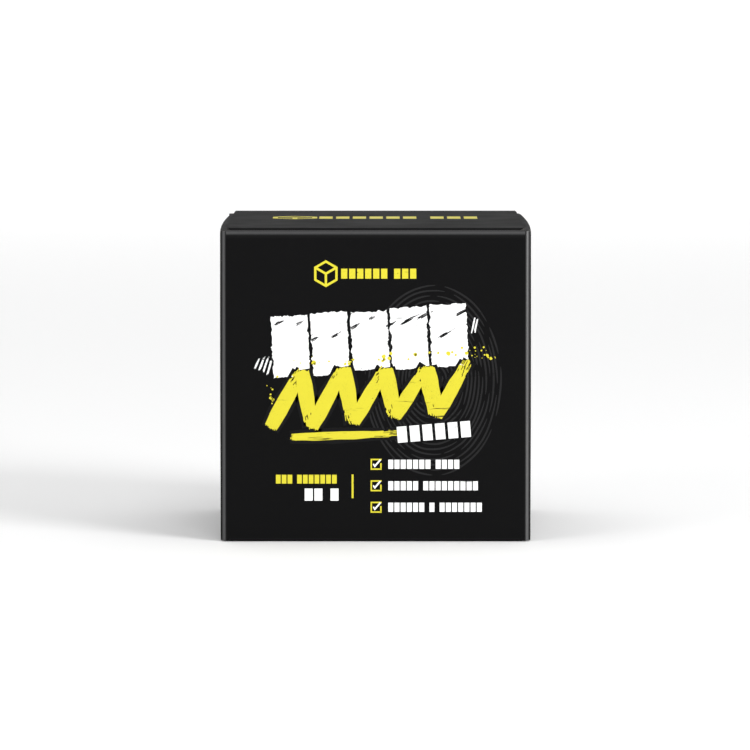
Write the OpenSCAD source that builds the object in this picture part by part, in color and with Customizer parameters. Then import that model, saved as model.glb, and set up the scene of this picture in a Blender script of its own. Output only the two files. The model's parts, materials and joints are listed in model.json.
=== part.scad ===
// Gymnastics chalk block in its folding carton.
// The carton is a square tube of board with a tuck closure at each end. The top lid folds
// at the back wall and tucks in behind the front wall; the bottom lid folds at the front
// wall and tucks in behind the back wall. +Z is up and the front wall faces -Y.

/* [Carton] */
// Outside width across the front wall
carton_w = 56; // [54:1:70]
// Outside depth from the front wall to the back wall
carton_d = 56; // [54:1:70]
// Outside height
carton_h = 56.7; // [54:0.1:70]
// Thickness of the board
board_t = 0.45; // [0.35:0.05:0.5]
// Outside radius of the upright corners
corner_r = 1; // [0.8:0.1:1.2]

/* [Closures] */
// How far each lid stops short of the side walls
lid_inset = 1.2; // [1:0.1:1.4]
// Gap between a lid's tuck crease and the wall it tucks in behind
tuck_gap = 0.35; // [0.3:0.05:0.5]
// Length of the tuck flaps from crease to free edge
tuck_l = 10; // [8:0.5:10]
// Angle that the tuck flaps lean in from the wall
tuck_lean = 7.5; // [7:0.5:8]
// How far the dust flaps reach in from the side walls
dust_l = 20; // [14:1:22]

/* [Chalk] */
// Side of the pressed block of chalk
chalk_side = 50; // [40:1:50]
// Chamfer along the edges of the block
chalk_chamfer = 0.8; // [0.4:0.1:1.5]

/* [Print] */
// Thickness of the printed ink
ink_t = 0.04; // [0.03:0.01:0.05]
// Slope of the brush strokes on the front
stroke_slope = 5; // [0:1:8]
// Outside radius of the largest printed ring
ring_r = 17; // [12:1:17]
// Number of printed rings
ring_count = 6; // [3:1:7]

/* [Hidden] */
// Gap between layers of board that lie on each other
layer_gap = 0.1;
// Gap along a crease between two panels that are drawn as separate pieces
crease_gap = 0.04;
// Height that the front and back walls' cut edges stay short of the lids
cut_edge_drop = 0.35;
// Rounding of the outside of the lids' creases
crease_r = 0.4;
// Thickness and width of the glue, and width of the flap that it holds
glue_t = 0.05;
glue_w = 9;
glue_flap_w = 12;
// Angle and inset of the glue flap's slanted ends
glue_flap_slant = 15;
// How much narrower the tuck flaps are than the lids, each side, and their corner radius
tuck_inset = 1;
tuck_corner_r = 5;
// Dust flap outline: shoulder beside the tuck flap, set-back behind it, slope by the lid's crease
dust_shoulder = 1.7;
dust_setback = 2.6;
dust_slope = 0.9;
dust_corner_r = 2.5;
// How far the shoulder narrows towards the tuck flap
dust_shoulder_taper = 0.4;
// Gap under the block of chalk, above the bottom dust flaps
block_lift_gap = 0.05;

// Print places on the front wall, from its centre line and its base
upper_stroke = [-1, 35.5];
lower_stroke = [0, 25.3];
copy_top = 14;
copy_pitch = 3.9;
copy_h = 1.6;
tick_box = 2;
tick_line = 0.3;
ring_centre = [8, 30.4];
ring_line = 0.35;
// Areas above, below and beside the strokes that show the rings: x, z, width and height
clear_areas = [[-4, 43.2, 26, 3], [-4, 15.8, 26, 1.2], [20.4, 17, 4.6, 26]];

half_w = carton_w / 2;
half_d = carton_d / 2;
// Level of the side walls' upper creases, under the lid
side_top = carton_h - board_t - layer_gap;
// Front edge of the top lid, where the tuck flap folds down
tuck_y = -half_d + board_t + tuck_gap;
lid_half_w = half_w - lid_inset;
// The lid and its tuck flap meet on the bisector of the fold between them, which closes
// past square by the flap's lean. This is how far that mitre runs along each inner face.
tuck_run = board_t / tan((90 - tuck_lean) / 2);
// Inner face of the right wall's glue flap
glue_x = half_w - board_t - glue_t;
// How far a cutting shape runs past what it cuts
overshoot = 1;

black = [0.09, 0.09, 0.095];
chalk_white = [0.93, 0.93, 0.91];
ink_white = [0.92, 0.92, 0.9];
ink_yellow = [0.93, 0.76, 0.1];
ink_grey = [0.2, 0.2, 0.21];
glue_colour = [0.85, 0.82, 0.7];

// Turns a top-closure part over into the bottom closure, front to back and upside down.
module turned_over() {
  translate([0, 0, carton_h]) rotate([180, 0, 0]) children();
}

module mirrored_x(flip) {
  if (flip) mirror([1, 0, 0]) children();
  else children();
}

// Wedge on the crease's side of a 45 degree mitre, seen along X: a lid keeps one side of the
// line through its hinge and the wall keeps the other. The crease runs along X at y = z = 0,
// with the lid towards -Y and the wall towards -Z.
module lid_side_of_crease(length) {
  rotate([90, 0, 90])
    linear_extrude(length, center = true)
      polygon([[-crease_gap, 0], [-crease_gap - carton_d, 0], [-crease_gap - carton_d, -board_t],
               [-crease_gap - board_t, -board_t]]);
}

// run is how far the mitre reaches down the wall's inner face.
module wall_side_of_crease(length, height, run = board_t) {
  rotate([90, 0, 90])
    linear_extrude(length, center = true)
      polygon([[0, -crease_gap], [0, -height], [-board_t, -height], [-board_t, -crease_gap - run]]);
}

// Everything outside a quarter-round of crease_r, along a crease at y = z = 0.
module crease_round(length) {
  rotate([90, 0, 90])
    linear_extrude(length + 2 * overshoot, center = true)
      difference() {
        translate([-crease_r, -crease_r]) square(crease_r + overshoot);
        translate([-crease_r, -crease_r]) circle(crease_r, $fn = 48);
      }
}

// Quarter of the board's bend round an upright corner, in the +X +Y quadrant.
module corner_bend() {
  intersection() {
    difference() {
      circle(corner_r, $fn = 48);
      circle(corner_r - board_t, $fn = 48);
    }
    square(corner_r + overshoot);
  }
}

// Back wall: creased to the top lid, cut at the bottom, with its upright corners.
// The right corner bends in by one board to carry the glue flap.
module back_panel() {
  right_bend = glue_x - corner_r;
  left_bend = half_w - corner_r;
  color(black) {
    difference() {
      translate([0, half_d, carton_h])
        wall_side_of_crease(carton_w, carton_h - cut_edge_drop);
      translate([0, half_d, carton_h]) crease_round(carton_w);
      translate([right_bend, 0, 0]) cube([carton_w, carton_d, carton_h + overshoot]);
      translate([-left_bend - carton_w, 0, 0]) cube([carton_w, carton_d, carton_h + overshoot]);
    }
    translate([right_bend, half_d - corner_r, cut_edge_drop])
      linear_extrude(side_top - cut_edge_drop) corner_bend();
    translate([-left_bend, half_d - corner_r, cut_edge_drop])
      linear_extrude(side_top - cut_edge_drop) mirror([1, 0]) corner_bend();
  }
}

// Front wall: the back wall turned over, with both corners full.
module front_panel() {
  bend = half_w - corner_r;
  color(black) turned_over() {
    difference() {
      translate([0, half_d, carton_h])
        wall_side_of_crease(2 * bend, carton_h - cut_edge_drop);
      translate([0, half_d, carton_h]) crease_round(carton_w);
    }
    for (side = [0, 1])
      mirrored_x(side == 1)
        translate([bend, half_d - corner_r, carton_h - side_top])
          linear_extrude(2 * side_top - carton_h) corner_bend();
  }
}

// Side wall on the left, between its upper and lower dust flap creases.
module side_panel(back_y) {
  front_y = -half_d + corner_r;
  intersection() {
    translate([-half_w, front_y, 0]) cube([board_t, back_y - front_y, carton_h]);
    rotate([90, 0, 0])
      linear_extrude(2 * carton_d, center = true)
        polygon([[-half_w, side_top - crease_gap], [-half_w, carton_h - side_top + crease_gap],
                 [-half_w + board_t, carton_h - side_top + board_t + crease_gap],
                 [-half_w + board_t, side_top - board_t - crease_gap]]);
  }
}

module left_panel() {
  color(black) side_panel(half_d - corner_r);
}

module right_panel() {
  color(black) mirror([1, 0, 0]) side_panel(half_d - layer_gap);
}

// Flap that bends in from the back wall and is glued to the inside of the right wall.
module glue_flap() {
  back_y = half_d - corner_r;
  front_y = back_y - glue_flap_w;
  low = carton_h - side_top + board_t;
  rise = glue_flap_w * tan(glue_flap_slant);
  color(black)
    translate([glue_x - board_t, 0, 0])
      rotate([90, 0, 90])
        linear_extrude(board_t)
          polygon([[back_y, low], [back_y, carton_h - low],
                   [front_y, carton_h - low - rise], [front_y, low + rise]]);
}

module glue_line() {
  end = carton_h / 8;
  color(glue_colour)
    translate([glue_x, half_d - corner_r - glue_w - glue_t, end])
      cube([glue_t, glue_w, carton_h - 2 * end]);
}

module top_lid() {
  color(black)
    difference() {
      translate([0, half_d, carton_h]) lid_side_of_crease(2 * lid_half_w);
      translate([0, half_d, carton_h]) crease_round(carton_w);
      // The front end is mitred and rounded for the tuck flap's crease.
      translate([0, tuck_y, carton_h]) mirror([0, 1, 0]) {
        crease_round(carton_w);
        rotate([90, 0, 90])
          linear_extrude(carton_w, center = true)
            polygon([[-crease_gap, overshoot], [-crease_gap, 0], [-crease_gap - tuck_run, -board_t],
                     [-crease_gap - tuck_run, -overshoot], [carton_d, -overshoot], [carton_d, overshoot]]);
      }
    }
}

// Tuck flap of the top lid. It hangs from the crease and leans in from the front wall.
module top_tuck_flap() {
  half = lid_half_w - tuck_inset;
  color(black)
    translate([0, tuck_y, carton_h])
      rotate([tuck_lean, 0, 0])
        mirror([0, 1, 0])
          difference() {
            intersection() {
              wall_side_of_crease(2 * half, tuck_l, tuck_run);
              rotate([90, 0, 0])
                linear_extrude(4 * board_t, center = true)
                  tuck_outline(half);
            }
            crease_round(carton_w);
          }
}

module tuck_outline(half) {
  for (side = [-1, 1])
    translate([side * (half - tuck_corner_r), -tuck_l + tuck_corner_r]) circle(tuck_corner_r, $fn = 64);
  translate([-half, -tuck_l + tuck_corner_r]) square([2 * half, tuck_l - tuck_corner_r]);
  translate([-half + tuck_corner_r, -tuck_l]) square([2 * (half - tuck_corner_r), tuck_l]);
}

// Dust flap at the top left, lying under the lid.
module dust_flap() {
  translate([-half_w, 0, side_top])
    difference() {
      translate([0, 0, -board_t]) linear_extrude(board_t) dust_outline();
      // Mitre at the crease, shared with the side wall.
      rotate([90, 0, 0])
        linear_extrude(2 * carton_d, center = true)
          polygon([[-overshoot, overshoot], [crease_gap, overshoot], [crease_gap, 0],
                   [crease_gap + board_t, -board_t], [crease_gap + board_t, -board_t - overshoot],
                   [-overshoot, -board_t - overshoot]]);
      rotate([0, 0, 90]) crease_round(2 * carton_d);
    }
}

// Outline of a dust flap from its crease at x = 0; its free end has rounded corners.
module dust_outline() {
  front = -half_d + corner_r + layer_gap;
  back = half_d - corner_r - layer_gap;
  set_back = -half_d + dust_setback;
  tip_back = back - dust_slope * dust_l;
  difference() {
    polygon([[0, front], [dust_shoulder - dust_shoulder_taper, front], [dust_shoulder, set_back],
             [dust_l, set_back], [dust_l, tip_back], [0, back]]);
    translate([dust_l - dust_corner_r, set_back + dust_corner_r])
      difference() {
        translate([0, -dust_corner_r - overshoot]) square(dust_corner_r + overshoot);
        circle(dust_corner_r, $fn = 48);
      }
  }
}

module top_dust_flap_left() {
  color(black) dust_flap();
}

module top_dust_flap_right() {
  color(black) mirror([1, 0, 0]) dust_flap();
}

module bottom_lid() {
  turned_over() top_lid();
}

module bottom_tuck_flap() {
  turned_over() top_tuck_flap();
}

module bottom_dust_flap_left() {
  turned_over() top_dust_flap_left();
}

module bottom_dust_flap_right() {
  turned_over() top_dust_flap_right();
}

// Square with cut corners, extruded to the block's size along Z.
module chamfered_bar() {
  h = chalk_side / 2;
  k = h - chalk_chamfer;
  linear_extrude(chalk_side, center = true)
    polygon([[h, k], [k, h], [-k, h], [-h, k], [-h, -k], [-k, -h], [k, -h], [h, -k]]);
}

// The block stands on the bottom dust flaps.
module chalk_block() {
  stands_at = carton_h - side_top + board_t + block_lift_gap;
  color(chalk_white)
    translate([0, 0, stands_at + chalk_side / 2])
      intersection() {
        chamfered_bar();
        rotate([90, 0, 0]) chamfered_bar();
        rotate([0, 90, 0]) chamfered_bar();
      }
}

// Ink on the front wall: x is from the centre line and y is up from the base.
module on_front() {
  translate([0, -half_d, 0]) rotate([90, 0, 0]) linear_extrude(ink_t) children();
}

module bar(x, z, w, h, turn = 0) {
  translate([x, z]) rotate(turn) square([w, h], center = true);
}

// Level of a row of copy, from the top
function copy_z(row) = copy_top - copy_pitch * row;

// Lines of copy are drawn as plain bars.
module front_print_white() {
  color(ink_white) on_front() {
    translate(upper_stroke) rotate(stroke_slope)
      polygon([[-18, -5], [17.5, -5.6], [19, -2], [18.2, 1.5], [18.6, 5.2], [-17.5, 5.6],
               [-18.6, 2], [-17.8, -1.5]]);
    bar(11, 19.4, 13, 2.6, stroke_slope);
    bar(-10, 8.5, 5.6, 2.2);
    for (row = [0:2]) bar(9 + row, copy_z(row), 13.5 + 2 * row, copy_h);
  }
}

module front_print_yellow() {
  color(ink_yellow) on_front() {
    // Mark and line near the top
    bar(-8.6, 48.6, 2.8, 2.8, 45);
    bar(1.6, 48.6, 13, copy_h);
    translate(lower_stroke) rotate(stroke_slope)
      polygon([[-17, -3.5], [-8, -4.2], [4, -3.4], [19, -3.9], [18, -0.5], [19.6, 2.2], [18.4, 3.6],
               [-18.5, 3.3], [-17.4, 0.5]]);
    bar(-12.6, 10.9, 10.8, copy_h);
    // Upright line between the two columns
    bar(-4.2, 10, 0.4, 4.2);
    for (row = [0:2])
      difference() {
        bar(0, copy_z(row), tick_box, tick_box);
        bar(0, copy_z(row), tick_box - 2 * tick_line, tick_box - 2 * tick_line);
      }
  }
}

// Thin rings behind the strokes, shown where nothing else is printed.
module front_print_rings() {
  step = ring_r / (ring_count + 1);
  color(ink_grey) on_front()
    for (i = [1:ring_count])
      intersection() {
        translate(ring_centre)
          difference() {
            circle(step * (i + 1), $fn = 128);
            circle(step * (i + 1) - ring_line, $fn = 128);
          }
        for (area = clear_areas) translate([area[0], area[1]]) square([area[2], area[3]]);
      }
}

module lid_print() {
  color(ink_yellow)
    translate([0, 5, carton_h]) linear_extrude(ink_t) {
      bar(-14, 0, 6.4, 6.4, 45);
      bar(4.5, 2, 27, 3.4);
      bar(4.5, -2.6, 27, 1.6);
    }
}

front_panel();
back_panel();
left_panel();
right_panel();
glue_flap();
glue_line();
top_lid();
top_tuck_flap();
top_dust_flap_left();
top_dust_flap_right();
bottom_lid();
bottom_tuck_flap();
bottom_dust_flap_left();
bottom_dust_flap_right();
chalk_block();
front_print_white();
front_print_yellow();
front_print_rings();
lid_print();
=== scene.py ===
"""Gymnastics chalk block in its folding carton: board with rounded creases, print and chalk.

The carton's tube, lids and flaps are sheets of board with an outside, an inside and a cut
edge. Each lid or flap is one sheet with its crease. Lengths in the settings are in metres,
and print places are in millimetres.
"""

import json
import math
import random

import bmesh
import bpy
from mathutils import Matrix, Vector, noise


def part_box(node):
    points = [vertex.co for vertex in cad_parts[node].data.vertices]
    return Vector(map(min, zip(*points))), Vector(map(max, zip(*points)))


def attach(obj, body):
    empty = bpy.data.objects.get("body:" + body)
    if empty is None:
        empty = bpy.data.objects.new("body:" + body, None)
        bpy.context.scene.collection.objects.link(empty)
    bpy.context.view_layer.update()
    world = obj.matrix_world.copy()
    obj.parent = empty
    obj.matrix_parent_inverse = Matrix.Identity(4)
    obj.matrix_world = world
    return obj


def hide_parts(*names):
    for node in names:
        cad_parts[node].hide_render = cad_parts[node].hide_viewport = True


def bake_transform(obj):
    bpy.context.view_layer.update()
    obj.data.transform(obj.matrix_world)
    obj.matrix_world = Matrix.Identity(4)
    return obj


bl_info = {
    "name": "Chalk Block Carton",
    "version": (1, 0, 0),
    "blender": (4, 5, 0),
    "location": "View3D > Sidebar > Chalk",
    "description": "Builds a chalk block in its folding carton around the packed frame",
    "category": "Object",
}

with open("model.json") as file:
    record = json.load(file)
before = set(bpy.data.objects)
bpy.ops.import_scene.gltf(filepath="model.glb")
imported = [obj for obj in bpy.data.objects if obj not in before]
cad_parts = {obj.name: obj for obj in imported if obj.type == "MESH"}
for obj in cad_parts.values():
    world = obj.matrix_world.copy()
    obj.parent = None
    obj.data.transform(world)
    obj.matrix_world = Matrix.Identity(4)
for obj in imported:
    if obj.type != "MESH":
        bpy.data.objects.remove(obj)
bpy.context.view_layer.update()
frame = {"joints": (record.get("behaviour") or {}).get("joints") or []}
MM = 0.001


def joint_at(name):
    """Where a hinge of the frame stands."""
    return Vector(next(j["pos_m"] for j in frame["joints"] if j["name"] == name))


# Sizes taken from the frame
HALF_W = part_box("front_panel")[1].x
HALF_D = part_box("back_panel")[1].y
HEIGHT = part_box("top_lid")[1].z
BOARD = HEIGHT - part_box("top_lid")[0].z
SIDE_TOP = joint_at("top_dust_crease_left").z
TUCK_Y = joint_at("top_tuck_crease").y
LID_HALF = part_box("top_lid")[1].x
TUCK_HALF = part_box("top_tuck_flap")[1].x
GLUE_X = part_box("glue_flap")[1].x
GLUE_FLAP_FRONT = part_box("glue_flap")[0].y
DUST_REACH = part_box("top_dust_flap_left")[1].x + HALF_W
CUT_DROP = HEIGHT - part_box("front_panel")[1].z
FRONT_TOP = HEIGHT - CUT_DROP - 0.05 * MM

# Material slots of a sheet of board
OUTSIDE, INSIDE, CUT = 0, 1, 2
# How much a lid narrows towards its crease on each side, and how much further the crease's
# ends are rounded off: more at the top, where they are worn, than at the base
LID_TAPER, TOP_ROUND, BASE_ROUND = 0.3 * MM, 1.0 * MM, 0.1 * MM
# How far the front corners stop above the base
FOOT = 0.15 * MM
# A dust flap's narrow shoulder, how far its step stands back from the front wall, and the
# radius of its inner corner
DUST_SHOULDER, DUST_STEP, DUST_CORNER = 1.7 * MM, 2.6 * MM, 2.5 * MM
# How much the lids' and flaps' creases take the painted highlight, the coat and the worn cracks,
# beside the upright corners at 1
CREASE_FOLD = 0.03


class CartonSettings(bpy.types.PropertyGroup):
    corner_radius: bpy.props.FloatProperty(
        name="Corner radius", description="Outside radius of the upright corners",
        default=1.05 * MM, min=0.6 * MM, max=1.5 * MM, subtype="DISTANCE")
    lid_crease: bpy.props.FloatProperty(
        name="Lid crease", description="Outside radius of the top lid's crease",
        default=0.75 * MM, min=0.5 * MM, max=1.0 * MM, subtype="DISTANCE")
    base_crease: bpy.props.FloatProperty(
        name="Base crease", description="Outside radius of the bottom lid's crease",
        default=0.5 * MM, min=0.47 * MM, max=1.0 * MM, subtype="DISTANCE")
    tuck_crease: bpy.props.FloatProperty(
        name="Tuck crease", description="Outside radius of the tuck flaps' creases",
        default=0.5 * MM, min=0.47 * MM, max=1.0 * MM, subtype="DISTANCE")
    dust_crease: bpy.props.FloatProperty(
        name="Dust flap crease", description="Outside radius of the dust flaps' creases",
        default=0.6 * MM, min=0.5 * MM, max=0.8 * MM, subtype="DISTANCE")
    belly: bpy.props.FloatProperty(
        name="Belly", description="How far the side walls bow out", default=0.5 * MM,
        min=0.0, max=0.7 * MM, subtype="DISTANCE")
    pull_in: bpy.props.FloatProperty(
        name="Pull in", description="How far the side walls come in at the back",
        default=0.4 * MM, min=0.0, max=0.6 * MM, subtype="DISTANCE")
    lip: bpy.props.FloatProperty(
        name="Lip", description="How far the front wall's cut edge curls in",
        default=0.2 * MM, min=0.0, max=0.3 * MM, subtype="DISTANCE")
    outside: bpy.props.FloatVectorProperty(
        name="Outside", description="Colour of the coated outside", size=3, subtype="COLOR",
        default=(0.0042, 0.0042, 0.0044), min=0.0, max=1.0)
    inside: bpy.props.FloatVectorProperty(
        name="Inside", description="Colour of the bare inside", size=3, subtype="COLOR",
        default=(0.5, 0.485, 0.45), min=0.0, max=1.0)


class ChalkSettings(bpy.types.PropertyGroup):
    chip: bpy.props.FloatProperty(
        name="Chips", description="Depth of the largest chips along the edges",
        default=1.3 * MM, min=0.0, max=2.0 * MM, subtype="DISTANCE")
    crumbs: bpy.props.IntProperty(
        name="Crumbs", description="Loose crumbs that lie on the block", default=70, min=0, max=200)
    colour: bpy.props.FloatVectorProperty(
        name="Colour", description="Colour of the chalk", size=3, subtype="COLOR",
        default=(0.7, 0.7, 0.685), min=0.0, max=1.0)


class PrintSettings(bpy.types.PropertyGroup):
    slope: bpy.props.FloatProperty(
        name="Slope", description="How much the strokes rise to the right",
        default=math.radians(4.8), min=0.0, max=math.radians(8), subtype="ANGLE")
    yellow: bpy.props.FloatVectorProperty(
        name="Yellow", description="Colour of the yellow ink", size=3, subtype="COLOR",
        default=(0.61, 0.545, 0.036), min=0.0, max=1.0)
    white: bpy.props.FloatVectorProperty(
        name="White", description="Colour of the white ink", size=3, subtype="COLOR",
        default=(0.9, 0.9, 0.9), min=0.0, max=1.0)
    grey: bpy.props.FloatVectorProperty(
        name="Grey", description="Colour of the rings", size=3, subtype="COLOR",
        default=(0.0135, 0.0135, 0.014), min=0.0, max=1.0)


class StageSettings(bpy.types.PropertyGroup):
    distance: bpy.props.FloatProperty(
        name="Camera distance", description="From the camera to the middle of the carton",
        default=1.148, min=0.3, max=3.0, subtype="DISTANCE")
    elevation: bpy.props.FloatProperty(
        name="Elevation", description="Height angle of the camera", default=math.radians(4.8),
        min=0.0, max=math.radians(80), subtype="ANGLE")
    aim_drop: bpy.props.FloatProperty(
        name="Aim drop", description="How far below the middle of the carton the camera aims",
        default=0.52 * MM, min=0.0, max=5 * MM, subtype="DISTANCE")
    aim_left: bpy.props.FloatProperty(
        name="Aim left", description="How far left of the middle of the carton the camera aims",
        default=0.1 * MM, min=-5 * MM, max=5 * MM, subtype="DISTANCE")
    lens: bpy.props.FloatProperty(
        name="Lens", description="Focal length", default=298.0, min=35.0, max=400.0, unit="CAMERA")
    floor: bpy.props.FloatVectorProperty(
        name="Floor", description="Colour of the floor and backdrop", size=3, subtype="COLOR",
        default=(0.95, 0.95, 0.95), min=0.0, max=1.0)


# ---------------------------------------------------------------- small helpers


def smooth(t):
    """0 to 1 with level ends, for t from 0 to 1."""
    t = min(max(t, 0.0), 1.0)
    return t * t * (3 - 2 * t)


def lerp(a, b, t):
    return a + (b - a) * t


def steps(a, b, n):
    """n + 1 even values from a to b."""
    return [lerp(a, b, i / n) for i in range(n + 1)]


def add_object(name, mesh):
    piece = bpy.data.objects.new(name, mesh)
    bpy.context.scene.collection.objects.link(piece)
    return piece


def turned_over():
    """Takes a top-closure point to the bottom closure: half a turn about X at mid height."""
    return Matrix.Translation((0, 0, HEIGHT)) @ Matrix.Rotation(math.pi, 4, "X")


def board_piece(name, outer, inner, folds, materials, flip=None):
    """A sheet of board from grids of outer and inner points: columns of rows.

    folds holds 0 to 1 for each point, for how near it is to a fold. The outer face, the
    inner face and the cut edges take the three materials in that order.
    """
    build = bmesh.new()
    uv = build.loops.layers.uv.new("board")
    fold = build.verts.layers.float.new("fold")
    columns, rows = len(outer), len(outer[0])
    place = flip or Matrix.Identity(4)
    grids = []
    for points in (outer, inner):
        grid = [[build.verts.new(place @ p) for p in column] for column in points]
        for i, column in enumerate(grid):
            for j, vertex in enumerate(column):
                vertex[fold] = folds[i][j]
        grids.append(grid)
    along = [0.0]
    for i in range(1, columns):
        along.append(along[-1] + (outer[i][rows // 2] - outer[i - 1][rows // 2]).length)
    across = [0.0]
    for j in range(1, rows):
        across.append(across[-1] + (outer[columns // 2][j] - outer[columns // 2][j - 1]).length)
    uv_size = 0.1

    def face(corners, slot):
        made = build.faces.new([grids[side][i][j] for side, i, j in corners])
        made.material_index = slot
        made.smooth = True
        for loop, (_, i, j) in zip(made.loops, corners):
            loop[uv].uv = (along[i] / uv_size, across[j] / uv_size)

    for i in range(columns - 1):
        for j in range(rows - 1):
            ring = [(i, j), (i + 1, j), (i + 1, j + 1), (i, j + 1)]
            face([(0, *c) for c in ring], OUTSIDE)
            face([(1, *c) for c in reversed(ring)], INSIDE)
        for j, order in ((0, (0, 1)), (rows - 1, (1, 0))):
            a, b = (i, j), (i + 1, j)
            face([(order[0], *b), (order[0], *a), (order[1], *a), (order[1], *b)], CUT)
    for j in range(rows - 1):
        for i, order in ((0, (1, 0)), (columns - 1, (0, 1))):
            a, b = (i, j), (i, j + 1)
            face([(order[0], *b), (order[0], *a), (order[1], *a), (order[1], *b)], CUT)
    bmesh.ops.recalc_face_normals(build, faces=build.faces)
    mesh = bpy.data.meshes.new(name)
    build.to_mesh(mesh)
    build.free()
    mesh.set_sharp_from_angle(angle=math.radians(50))
    for material in materials:
        mesh.materials.append(material)
    return add_object(name, mesh)


# ---------------------------------------------------------------- materials


class Nodes:
    """Adds nodes to a tree and joins them."""

    def __init__(self, tree):
        self.tree = tree
        self.tree.nodes.clear()

    def add(self, kind, *values, **settings):
        """values fill the first inputs in order, as numbers or links; None leaves one alone."""
        node = self.tree.nodes.new(kind)
        node.location.x = 180 * len(self.tree.nodes)
        for key, value in settings.items():
            setattr(node, key, value)
        for socket, value in zip(node.inputs, values):
            self.join(socket, value)
        return node

    def join(self, socket, value):
        if isinstance(value, bpy.types.NodeSocket):
            self.tree.links.new(value, socket)
        elif value is not None:
            socket.default_value = value

    def math(self, operation, *values):
        return self.add("ShaderNodeMath", *values, operation=operation).outputs[0]

    def noise(self, at, scale, detail=3.0, roughness=0.5):
        node = self.add("ShaderNodeTexNoise", at)
        node.inputs["Scale"].default_value = scale
        node.inputs["Detail"].default_value = detail
        node.inputs["Roughness"].default_value = roughness
        return node.outputs["Fac"]

    def range(self, value, low, high, to_low=0.0, to_high=1.0):
        node = self.add("ShaderNodeMapRange", value, low, high, to_low, to_high)
        return node.outputs[0]

    def stretched(self, at, scale, turn=0.0):
        node = self.add("ShaderNodeMapping", at)
        node.inputs["Scale"].default_value = scale
        node.inputs["Rotation"].default_value = (0, turn, 0)
        return node.outputs[0]

    def mix(self, amount, a, b):
        node = self.add("ShaderNodeMix", data_type="RGBA")
        self.join(node.inputs[0], amount)
        for socket, value in ((node.inputs[6], a), (node.inputs[7], b)):
            self.join(socket, value)
        return node.outputs[2]

    def bump(self, height, strength, distance):
        node = self.add("ShaderNodeBump")
        node.inputs["Strength"].default_value = strength
        node.inputs["Distance"].default_value = distance
        self.join(node.inputs["Height"], height)
        return node.outputs[0]


def group(name, inputs, outputs, fill):
    """A shader node group, built once: fill(nodes, inputs) returns its outputs in order."""
    tree = bpy.data.node_groups.get(name)
    if tree:
        return tree
    tree = bpy.data.node_groups.new(name, "ShaderNodeTree")
    for label, kind in inputs:
        tree.interface.new_socket(label, in_out="INPUT", socket_type=kind)
    for label, kind in outputs:
        tree.interface.new_socket(label, in_out="OUTPUT", socket_type=kind)
    nodes = Nodes(tree)
    made = fill(nodes, nodes.add("NodeGroupInput").outputs)
    nodes.add("NodeGroupOutput", *made)
    return tree


def coated_board(nodes, inputs):
    """Coating over board: a fine peel, broad smudges, and hairline cracks along folds."""
    at, fold = inputs["Vector"], inputs["Fold"]
    peel = nodes.noise(at, 260.0, 4.0, 0.6)
    broad = nodes.noise(at, 9.0, 3.0)
    smudge = nodes.range(broad, 0.35, 0.7)
    flecks = nodes.range(nodes.noise(at, 420.0, 2.0), 0.74, 0.8)
    cracks = nodes.range(nodes.noise(at, 900.0, 3.0), 0.6, 0.72)
    wear = nodes.math("MULTIPLY", cracks, fold)
    return peel, smudge, flecks, wear


def board_effects():
    return group(
        "Coated board",
        [("Vector", "NodeSocketVector"), ("Fold", "NodeSocketFloat")],
        [("Peel", "NodeSocketFloat"), ("Smudge", "NodeSocketFloat"),
         ("Flecks", "NodeSocketFloat"), ("Wear", "NodeSocketFloat")],
        coated_board)


def bare_board(nodes, inputs):
    """Pressed fibres: short soft streaks in two directions, and darker specks."""
    at = inputs["Vector"]
    lying = nodes.noise(nodes.stretched(at, (60, 500, 60)), 1.0, 4.0, 0.65)
    crossing = nodes.noise(nodes.stretched(at, (420, 90, 420)), 1.0, 3.0, 0.6)
    fibres = nodes.math("MULTIPLY", nodes.math("ADD", lying, crossing), 0.5)
    specks = nodes.range(nodes.noise(at, 300.0, 1.0), 0.7, 0.76)
    return fibres, specks


def fibre_effects():
    return group(
        "Bare board", [("Vector", "NodeSocketVector")],
        [("Fibres", "NodeSocketFloat"), ("Specks", "NodeSocketFloat")], bare_board)


def dry_brush(nodes, inputs):
    """How well ink covers: streaks along the stroke that break up, and pinholes."""
    at = inputs["Vector"]
    turn = math.radians(5)
    streaks = nodes.noise(nodes.stretched(at, (90, 90, 1500), turn), 1.0, 4.0, 0.6)
    patches = nodes.noise(at, 160.0, 2.0)
    dry = nodes.math("MULTIPLY", nodes.range(streaks, 0.6, 0.68), nodes.range(patches, 0.52, 0.62))
    pinholes = nodes.range(nodes.noise(at, 2600.0, 2.0), 0.72, 0.76)
    gaps = nodes.math("MAXIMUM", dry, pinholes)
    return nodes.math("SUBTRACT", 1.0, gaps), streaks


def ink_effects():
    return group(
        "Dry brush", [("Vector", "NodeSocketVector")],
        [("Cover", "NodeSocketFloat"), ("Streaks", "NodeSocketFloat")], dry_brush)


def chalk_grain(nodes, inputs):
    """Pressed powder: grains, pores and soft clouds of density."""
    at = inputs["Vector"]
    grains = nodes.noise(at, 2400.0, 5.0, 0.7)
    clouds = nodes.noise(at, 90.0, 4.0, 0.6)
    pores = nodes.range(nodes.noise(at, 700.0, 3.0, 0.6), 0.6, 0.72)
    lumps = nodes.noise(at, 320.0, 4.0, 0.6)
    height = nodes.math("SUBTRACT", nodes.math("ADD", grains, lumps), pores)
    return height, clouds, pores


def chalk_effects():
    return group(
        "Chalk grain", [("Vector", "NodeSocketVector")],
        [("Height", "NodeSocketFloat"), ("Clouds", "NodeSocketFloat"),
         ("Pores", "NodeSocketFloat")], chalk_grain)


def new_material(name):
    material = bpy.data.materials.get(name)
    if material:
        return material, None, None
    material = bpy.data.materials.new(name)
    material.use_nodes = True
    nodes = Nodes(material.node_tree)
    shader = nodes.add("ShaderNodeBsdfPrincipled")
    nodes.add("ShaderNodeOutputMaterial", shader.outputs[0])
    return material, nodes, shader


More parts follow.
